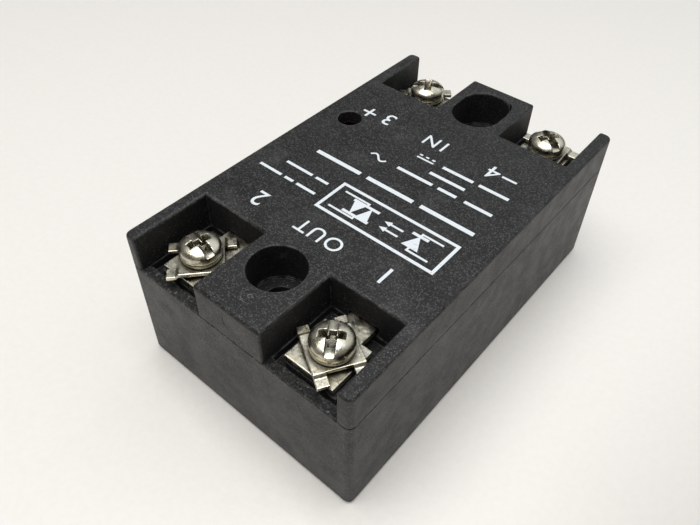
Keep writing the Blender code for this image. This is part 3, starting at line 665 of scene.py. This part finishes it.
def weigh_edges(bm, radius_of_edge, widest):
    """Give each sharp outer edge its radius as a share of the widest one, for the bevel."""
    weight = bm.edges.layers.float.new("bevel_weight_edge")
    for edge in bm.edges:
        if not edge.is_manifold:
            continue
        turn = edge.calc_face_angle_signed()
        middle = (edge.verts[0].co + edge.verts[1].co) / 2 / MM
        radius = radius_of_edge(middle) if turn > math.radians(SHARP_TURN) else 0.0
        edge[weight] = radius / widest
        edge.smooth = radius > 0 or abs(turn) < math.radians(SHARP_TURN)


def shade_flats(mesh):
    """Give each large flat face its own direction, shared with the rounded edges that run into it."""
    def is_large(face):
        places = [mesh.vertices[vert].co for vert in face.vertices]
        outline = sum((place - before).length for place, before in zip(places, places[-1:] + places[:-1]))
        return face.area > max(LARGE_FACE * MM ** 2, BROAD_FACE * MM * outline)

    beside = {}
    for face in filter(is_large, mesh.polygons):
        for vert in face.vertices:
            beside.setdefault(vert, []).append(face.normal.copy())
    normals = []
    for face in mesh.polygons:
        for loop, vert in zip(face.loop_indices, face.vertices):
            own = mesh.corner_normals[loop].vector.copy()
            flats = [face.normal] if is_large(face) else beside.get(vert, [])
            best = max(flats, key=face.normal.dot, default=None)
            shared = best is not None and best.dot(face.normal) > 0.7
            normals.append(best.copy() if shared else own)
    mesh.normals_split_custom_set(normals)


def near(value, target, reach=0.12):
    return abs(value - target) < reach


def on_outline(middle, insets):
    """Whether a place is as near to the case's sides or ends as the insets."""
    side, end = insets
    return abs(middle.x) > CASE_HALF_WIDTH - side or abs(middle.y) > CASE_HALF_LENGTH - end


def cover_radius(middle):
    """Rounding of the upper cover's edges: rims, outer corners and holes."""
    if near(middle.z, TOP_LEVEL):
        to_fixing_hole = math.hypot(middle.x, abs(middle.y) - FIXING_HOLE_Y)
        to_lamp_hole = math.hypot(middle.x - LAMP_HOLE_X, middle.y - LAMP_HOLE_Y)
        if to_fixing_hole < FIXING_HOLE_REACH or to_lamp_hole < LAMP_HOLE_REACH:
            return HOLE_RADIUS
        on_boss_end = abs(middle.x) < BOSS_END_X and abs(middle.y) > BOSS_END_Y
        return BOSS_RADIUS if on_boss_end else RIM_RADIUS
    at_foot = near(middle.z, COVER_FOOT_LEVEL, COVER_FOOT_BAND)
    if on_outline(middle, COVER_OUTLINE) and middle.z > SEAM_LEVEL + 1 and not at_foot:
        return CORNER_EDGE_RADIUS
    return 0.0


def base_radius(middle):
    """Rounding of the lower case's edges: the seam, the sills and the foot."""
    outline = on_outline(middle, BASE_OUTLINE)
    on_sill = abs(middle.y) > CASE_HALF_LENGTH - SILL_DEPTH
    if near(middle.z, SEAM_LEVEL):
        return SEAM_RADIUS if outline or on_sill else 0.0
    if outline and middle.z < BASE_FOOT_BAND:
        return FOOT_RADIUS
    return 0.0


def add_mould_mark(material):
    """Ring and dot raised on the near boss by the mould."""
    bm = bmesh.new()
    centre = Vector((MOULD_MARK_X, MOULD_MARK_Y, TOP_LEVEL))
    for radius, half_width in MOULD_MARK_RINGS:
        ring_into(bm, centre, radius, half_width, MOULD_MARK_HEIGHT)
    piece = add_piece("mould_mark", mesh_from(bm, "mould_mark"))
    piece.data.shade_smooth()
    dress(piece, material)
    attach(piece, "case")


def ring_into(bm, centre, radius, half_width, height, around=32, section=8):
    """Add a ring lying flat and sunk to its middle, whose section is an ellipse."""
    loops = []
    for step in range(around):
        turn = 2 * math.pi * step / around
        loop = []
        for part in range(section):
            angle = 2 * math.pi * part / section
            place = on_circle(radius + half_width * math.cos(angle), turn, height * math.sin(angle))
            loop.append(bm.verts.new(centre * MM + place))
        loops.append(loop)
    join_rings(bm, loops + loops[:1])


# ---------------------------------------------------------------- terminals

def head_blank():
    """Turned pan head with a soft shoulder, closed at the bottom."""
    dome = HEAD_HEIGHT - HEAD_EDGE
    profile = [(0.0, HEAD_HEIGHT)]
    for degrees in range(8, 91, 8):
        angle = math.radians(degrees)
        radius = HEAD_RADIUS * math.sin(angle) ** HEAD_ROUNDNESS
        profile.append((radius, HEAD_EDGE + dome * math.cos(angle)))
    inset, rise = HEAD_CHAMFER
    profile += [(HEAD_RADIUS, rise), (HEAD_RADIUS - inset, 0.0), (0.0, 0.0)]
    return lathe("screw_head", profile, 72)


def lathe(name, profile, steps):
    """A turned solid: the profile runs from the axis at the top, down the outside, to the axis."""
    bm = bmesh.new()
    rings = []
    for radius, height in profile:
        turns = [2 * math.pi * step / steps for step in range(steps if radius > 0 else 1)]
        rings.append([bm.verts.new(on_circle(radius, turn, height)) for turn in turns])
    join_rings(bm, rings)
    mesh = mesh_from(bm, name)
    mesh.shade_smooth()
    return mesh


def block_piece(name, top, foot, high, low):
    """A block for cutting, whose size in X and Y changes from its top to its foot."""
    bm = bmesh.new()
    for vert in bmesh.ops.create_cube(bm, size=1.0)["verts"]:
        size, level = (top, high) if vert.co.z > 0 else (foot, low)
        vert.co = Vector((vert.co.x * size[0], vert.co.y * size[1], level)) * MM
    return add_piece(name, mesh_from(bm, name))


def cut_head():
    """The head with its slot and its tapered cross recess, and rounded edges."""
    head = add_piece("screw_head_blank", head_blank())
    reach = 2 * HEAD_RADIUS + 2
    slot_foot = (reach, SLOT_WIDTH - SLOT_TAPER)
    slot = block_piece("slot_cutter", (reach, SLOT_WIDTH), slot_foot, HEAD_HEIGHT + 1,
                       HEAD_HEIGHT - SLOT_DEPTH)
    levels = (HEAD_HEIGHT + 0.1, HEAD_HEIGHT - CROSS_DEPTH)
    cross = block_piece("cross_cutter", CROSS_TOP, CROSS_FOOT, *levels)
    second = block_piece("second_cross_cutter", CROSS_TOP[::-1], CROSS_FOOT[::-1], *levels)
    for cutter in (slot, cross, second):
        boolean = head.modifiers.new(cutter.name, "BOOLEAN")
        boolean.operation = "DIFFERENCE"
        boolean.object = cutter
    add_bevel(head, SCREW_EDGE, 2, degrees=38)
    mesh = finished_mesh(head)
    for helper in (head, slot, cross, second):
        bpy.data.objects.remove(helper)
    return mesh


def thread_into(bm, around=24, rows_per_turn=8):
    """Add the threaded shank: its radius follows the helix, and it tapers off at the tip."""
    rows = int(THREAD_LENGTH / THREAD_PITCH * rows_per_turn)
    rings = []
    for row in range(rows + 1):
        depth = THREAD_LENGTH * row / rows
        taper = max(0.0, 1 - (THREAD_LENGTH - depth) / TIP_LENGTH) * TIP_TAPER
        ring = []
        for step in range(around):
            phase = (depth / THREAD_PITCH + step / around) % 1.0
            cut = THREAD_DEPTH * abs(2 * phase - 1)
            turn = 2 * math.pi * step / around
            ring.append(bm.verts.new(on_circle(THREAD_RADIUS - cut - taper, turn, -depth)))
        rings.append(ring)
    join_rings(bm, rings)
    bm.faces.new(rings[0])
    bm.faces.new(rings[-1][::-1])


def screw_mesh():
    """A whole terminal screw, with its head's underside at zero."""
    bm = bmesh.new()
    bm.from_mesh(cut_head())
    thread_into(bm)
    bmesh.ops.recalc_face_normals(bm, faces=bm.faces)
    mesh = mesh_from(bm, "terminal_screw")
    mesh.shade_smooth()
    mesh.set_sharp_from_angle(angle=math.radians(50))
    return mesh


def spring_washer_mesh(steps=60):
    """Split ring that climbs from one end of the split to the other."""
    low, high = (corner.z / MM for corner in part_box("spring_washer_1"))
    thickness = high - low - SPRING_RISE
    bm = bmesh.new()
    sections = []
    for step in range(steps + 1):
        share = step / steps
        turn = math.radians(SPRING_SPLIT + (360 - 2 * SPRING_SPLIT) * share)
        base = SPRING_RISE * share
        corners = ((SPRING_INNER, base), (SPRING_OUTER, base), (SPRING_OUTER, base + thickness),
                   (SPRING_INNER, base + thickness))
        sections.append([bm.verts.new(on_circle(radius, turn, height)) for radius, height in corners])
    join_rings(bm, sections)
    bm.faces.new(sections[0][::-1])
    bm.faces.new(sections[-1])
    bmesh.ops.recalc_face_normals(bm, faces=bm.faces)
    mesh = mesh_from(bm, "spring_washer")
    mesh.shade_smooth()
    mesh.set_sharp_from_angle(angle=math.radians(35))
    return mesh


def screw_axis(number):
    """Where a terminal screw's axis is, in X and Y."""
    low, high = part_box(f"terminal_screw_{number}")
    return (low.x + high.x) / 2, (low.y + high.y) / 2


def add_terminals(materials):
    """Four screws and spring washers in place of the CAD's, and softened washers and plates."""
    screw = screw_mesh()
    screw.materials.append(materials["screw_nickel"])
    spring = spring_washer_mesh()
    spring.materials.append(materials["nickel"])
    for number in NUMBERS:
        place_screw(number, screw)
        place_spring(number, spring)
        soften_node(f"clamp_washer_{number}", CLAMP_EDGE)
        soften_node(f"terminal_plate_{number}", PLATE_EDGE)


def place_screw(number, mesh):
    """One screw on its spring washer, turned as in SLOT_TURNS."""
    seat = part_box(f"spring_washer_{number}")[1].z
    piece = add_piece(f"screw_{number}", mesh)
    piece.location = (*screw_axis(number), seat + HEAD_GAP * MM)
    piece.rotation_euler.z = math.radians(SLOT_TURNS[number])
    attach(piece, f"screw_{number}")
    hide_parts(f"terminal_screw_{number}")


def place_spring(number, mesh):
    """One spring washer under its screw, with its split across the clamp washer."""
    node = f"spring_washer_{number}"
    piece = add_piece(f"spring_{number}", mesh)
    piece.location = (*screw_axis(number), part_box(node)[0].z)
    piece.rotation_euler.z = math.radians(CLAMP_TURNS[number] + 90)
    bevel = piece.modifiers.new("edges", "BEVEL")
    bevel.width = SPRING_EDGE * MM
    bevel.segments = 2
    bevel.limit_method = "ANGLE"
    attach(piece, f"clamp_{number}")
    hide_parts(node)


# ---------------------------------------------------------------- printing

class Printing:
    """Marks on the top, in the print's own right and up directions, as thin solids."""

    def __init__(self):
        self.bm = bmesh.new()
        self.count = 0

    def strip(self, left, right, closed=False):
        """Add one flat mark between two edges with as many points, at another height than the last."""
        self.count += 1
        lift = INK_STEP * (self.count % INK_STEPS)
        levels = (TOP_LEVEL - INK_THICKNESS, TOP_LEVEL + INK_THICKNESS + lift)
        rows = [[self.bm.verts.new(Vector((-x, -y, level)) * MM) for x, y in edge]
                for edge in (left, right) for level in levels]
        left_low, left_high, right_low, right_high = rows
        for index in range(len(left) if closed else len(left) - 1):
            after = (index + 1) % len(left)
            for first, second in ((left_high, right_high), (right_low, left_low),
                                  (left_low, left_high), (right_high, right_low)):
                self.bm.faces.new((first[index], second[index], second[after], first[after]))
        if not closed:
            for end in (0, -1):
                self.bm.faces.new((left_low[end], left_high[end], right_high[end], right_low[end]))

    def path(self, points, width, closed=False):
        """Add a line of one width through the points, with mitred corners."""
        points = [Vector(point) for point in points]
        left, right = [], []
        for index, point in enumerate(points):
            before = points[index - 1] if index or closed else None
            after = points[(index + 1) % len(points)] if index + 1 < len(points) or closed else None
            arriving = (point - before).normalized() if before else (after - point).normalized()
            leaving = (after - point).normalized() if after else arriving
            along = (arriving + leaving).normalized()
            side = Vector((-along.y, along.x)) * width / 2 / max(0.3, along.dot(leaving))
            left.append(point + side)
            right.append(point - side)
        self.strip(left, right, closed)

    def line(self, start, end, width):
        self.path([start, end], width)

    def triangle(self, first, second, third):
        first, second, third = Vector(first), Vector(second), Vector(third)
        self.strip([first, (first + third) / 2], [second, third])

    def words(self, left, middle, lengths, gap, height):
        """A row of plain bars in place of words."""
        for length in lengths:
            self.line((left, middle), (left + length, middle), height)
            left += length + gap

    def text(self, body, cap_height, centre, spacing):
        """Plain figures or a short generic word, centred on a place."""
        curve = bpy.data.curves.new(body, "FONT")
        curve.body = body
        curve.size = cap_height * MM
        curve.space_character = spacing
        curve.align_x = "CENTER"
        curve.extrude = INK_THICKNESS * MM
        curve.resolution_u = 6
        curve.offset = INK_SPREAD * MM
        carrier = add_piece("text_carrier", curve)
        mesh = finished_mesh(carrier)
        bpy.data.objects.remove(carrier)
        low = min(vert.co.y for vert in mesh.vertices)
        high = max(vert.co.y for vert in mesh.vertices)
        factor = cap_height * MM / (high - low)
        size = Matrix.Diagonal((factor, factor, 1, 1))
        level = Matrix.Translation((0, -(low + high) / 2, 0))
        place = Matrix.Translation((centre[0] * MM, centre[1] * MM, 0))
        lift = Matrix.Translation((0, 0, TOP_LEVEL * MM))
        mesh.transform(lift @ Matrix.Rotation(math.pi, 4, "Z") @ place @ size @ level)
        self.bm.from_mesh(mesh)


def print_terminal_marks(marks):
    """Terminal numbers, polarity, and the words for the two ends."""
    for body, height, place, spacing in LETTERING:
        marks.text(body, height, place, spacing)
    x, y = PLUS_PLACE
    marks.line((x - SIGN_HALF, y), (x + SIGN_HALF, y), SIGN_WIDTH)
    marks.line((x, y - SIGN_HALF), (x, y + SIGN_HALF), SIGN_WIDTH)
    x, y = MINUS_PLACE
    marks.line((x - SIGN_HALF, y), (x + SIGN_HALF, y), SIGN_WIDTH)


def print_circuit(marks):
    """Generic circuit of a relay: a light emitter and the two-way switch that it turns on."""
    left, right, low, high = CIRCUIT_FRAME
    marks.path([(left, low), (right, low), (right, high), (left, high)], THICK_LINE, closed=True)
    print_leads(marks, left + EMITTER_INSET, EMITTER_X)
    print_emitter(marks, EMITTER_X)
    print_switch(marks, SWITCH_X)
    print_leads(marks, right - LEAD_INSET, SWITCH_X)


def print_leads(marks, start, x):
    """Two leads that start beside the frame and turn down or up to a symbol's top and foot."""
    _, _, low, high = CIRCUIT_FRAME
    for level, end in ((high - LEAD_INSET, SYMBOL_TOP), (low + LEAD_INSET, SYMBOL_FOOT)):
        marks.path([(start, level), (x, level), (x, end)], THIN_LINE)


def print_emitter(marks, x):
    """Light emitter, with two arrows towards the switch."""
    marks.triangle((x - SYMBOL_HALF, SYMBOL_TOP), (x + SYMBOL_HALF, SYMBOL_TOP), (x, SYMBOL_FOOT))
    marks.line((x - SYMBOL_HALF, SYMBOL_FOOT), (x + SYMBOL_HALF, SYMBOL_FOOT), THICK_LINE)
    for rise in ARROW_RISES:
        level = SYMBOL_LEVEL + rise
        marks.line((x + ARROW_START, level), (x + SHAFT_END, level), THIN_LINE)
        marks.triangle((x + ARROW_HEAD, level + ARROW_HALF), (x + ARROW_HEAD, level - ARROW_HALF),
                       (x + ARROW_TIP, level))


def print_switch(marks, x):
    """Two-way switch: two opposite triangles between bars."""
    reach = SWITCH_HALF + BAR_EXCESS
    for level in (SYMBOL_TOP, SYMBOL_FOOT):
        marks.line((x - reach, level), (x + reach, level), THICK_LINE)
    half = SWITCH_HALF / 2
    marks.triangle((x - SWITCH_HALF, SYMBOL_TOP), (x, SYMBOL_TOP), (x - half, SYMBOL_FOOT))
    marks.triangle((x, SYMBOL_FOOT), (x + SWITCH_HALF, SYMBOL_FOOT), (x + half, SYMBOL_TOP))


def print_rows(marks):
    """Plain bars where the rating plate's words would be, and the signs for the kinds of current."""
    for row in BAR_ROWS:
        marks.words(*row)
    wave = []
    for step in range(WAVE_STEPS + 1):
        share = step / WAVE_STEPS
        rise = WAVE_HEIGHT * math.sin(2 * math.pi * share)
        wave.append((WAVE_LEFT + WAVE_LENGTH * share, WAVE_LEVEL + rise))
    marks.path(wave, FINE_LINE)
    marks.line((DIRECT_LEFT, DIRECT_LEVEL), (DIRECT_RIGHT, DIRECT_LEVEL), FINE_LINE)
    for step in range(3):
        start = DASH_LEFT + DASH_SPACING * step
        marks.line((start, DASH_LEVEL), (start + DASH_LENGTH, DASH_LEVEL), FINE_LINE)


def add_printing(material):
    """All the marks as one piece that rides on the case."""
    marks = Printing()
    print_terminal_marks(marks)
    print_circuit(marks)
    print_rows(marks)
    bmesh.ops.recalc_face_normals(marks.bm, faces=marks.bm.faces)
    piece = add_piece("printed_marks", mesh_from(marks.bm, "printed_marks"))
    dress(piece, material)
    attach(piece, "case")


# ---------------------------------------------------------------- stage

def add_table():
    """Plain level table just under the object."""
    bm = bmesh.new()
    bmesh.ops.create_grid(bm, x_segments=8, y_segments=8, size=TABLE_HALF_SIZE)
    table = add_piece("table", mesh_from(bm, "table"))
    table.location.z = cad_low.z - TABLE_GAP * MM
    dress(table, table_top())


def add_room():
    """Dim even room with one broad bright patch, high up beyond the object's +Y end."""
    world = bpy.data.worlds.new("room")
    world.use_nodes = True
    bpy.context.scene.world = world
    nodes, links = world.node_tree.nodes, world.node_tree.links
    place = nodes.new("ShaderNodeTexCoord")
    toward = nodes.new("ShaderNodeVectorMath")
    toward.operation = "DOT_PRODUCT"
    toward.inputs[1].default_value = Vector(BRIGHT_WAY).normalized()
    links.new(place.outputs["Generated"], toward.inputs[0])
    ramp = nodes.new("ShaderNodeValToRGB")
    ramp.color_ramp.interpolation = "EASE"
    start, full = ramp.color_ramp.elements
    start.position, start.color = BRIGHT_START, ROOM_TONE
    full.position, full.color = BRIGHT_FULL, BRIGHT_TONE
    links.new(toward.outputs["Value"], ramp.inputs["Fac"])
    links.new(ramp.outputs["Color"], nodes["Background"].inputs["Color"])


def add_soft_light():
    """Square soft light over the object, turned to face it."""
    data = bpy.data.lights.new("softbox", "AREA")
    data.size = SOFTBOX_SIZE * MM
    data.energy = SOFTBOX_POWER
    data.color = SOFTBOX_TONE
    light = add_piece("softbox", data)
    light.location = Vector(SOFTBOX_PLACE) * MM
    light.rotation_euler = (-light.location).to_track_quat("-Z", "Y").to_euler()


def add_card():
    """Brown card held level out of view, which shades the table to the right of the object."""
    bm = bmesh.new()
    bmesh.ops.create_grid(bm, x_segments=1, y_segments=1, size=0.5)
    card = add_piece("card", mesh_from(bm, "card"))
    card.scale = (CARD_SIZE * MM, CARD_SIZE * MM, 1)
    card.location = Vector(CARD_PLACE) * MM
    card.visible_camera = False
    dress(card, lacquered("brown_card", (0.30, 0.22, 0.15), (0.26, 0.19, 0.13), 0.8, 0.1))


def add_camera():
    """The camera, turned by its azimuth, elevation and roll."""
    azimuth, elevation, roll = (math.radians(value) for value in
                                (CAMERA_AZIMUTH, CAMERA_ELEVATION, CAMERA_ROLL))
    back = Vector((math.sin(azimuth) * math.cos(elevation), -math.cos(azimuth) * math.cos(elevation),
                   math.sin(elevation)))
    right = Vector((0, 0, 1)).cross(back).normalized()
    up = back.cross(right)
    turn = Matrix((right, up, back)).transposed().to_4x4() @ Matrix.Rotation(roll, 4, "Z")
    data = bpy.data.cameras.new("camera")
    data.sensor_width = SENSOR_WIDTH
    data.lens = CAMERA_LENS
    data.clip_start = 0.005
    camera = add_piece("camera", data)
    camera.matrix_world = Matrix.Translation(Vector(CAMERA_PLACE) * MM) @ turn
    bpy.context.scene.camera = camera


# ---------------------------------------------------------------- the scene

def dress_nodes(materials):
    """Give every CAD node its slot's material."""
    for subpart in frame["record"]["subparts"]:
        node = frame["nodes"][subpart["node"]]
        dress(node, materials[subpart["material_slot"]])


def main():
    bpy.context.scene.view_settings.view_transform = "Standard"
    add_camera()
    add_table()
    add_room()
    add_soft_light()
    add_card()
    materials = slot_materials()
    dress_nodes(materials)
    moulding("upper_cover", "cover_moulding", cover_radius, COVER_CUTS, materials["case"])
    moulding("lower_case", "base_moulding", base_radius, BASE_CUTS, materials["case"])
    add_mould_mark(materials["case"])
    add_terminals(materials)
    soften_node("heat_sink_plate", SINK_EDGE, 3)
    add_printing(white_ink())


main()
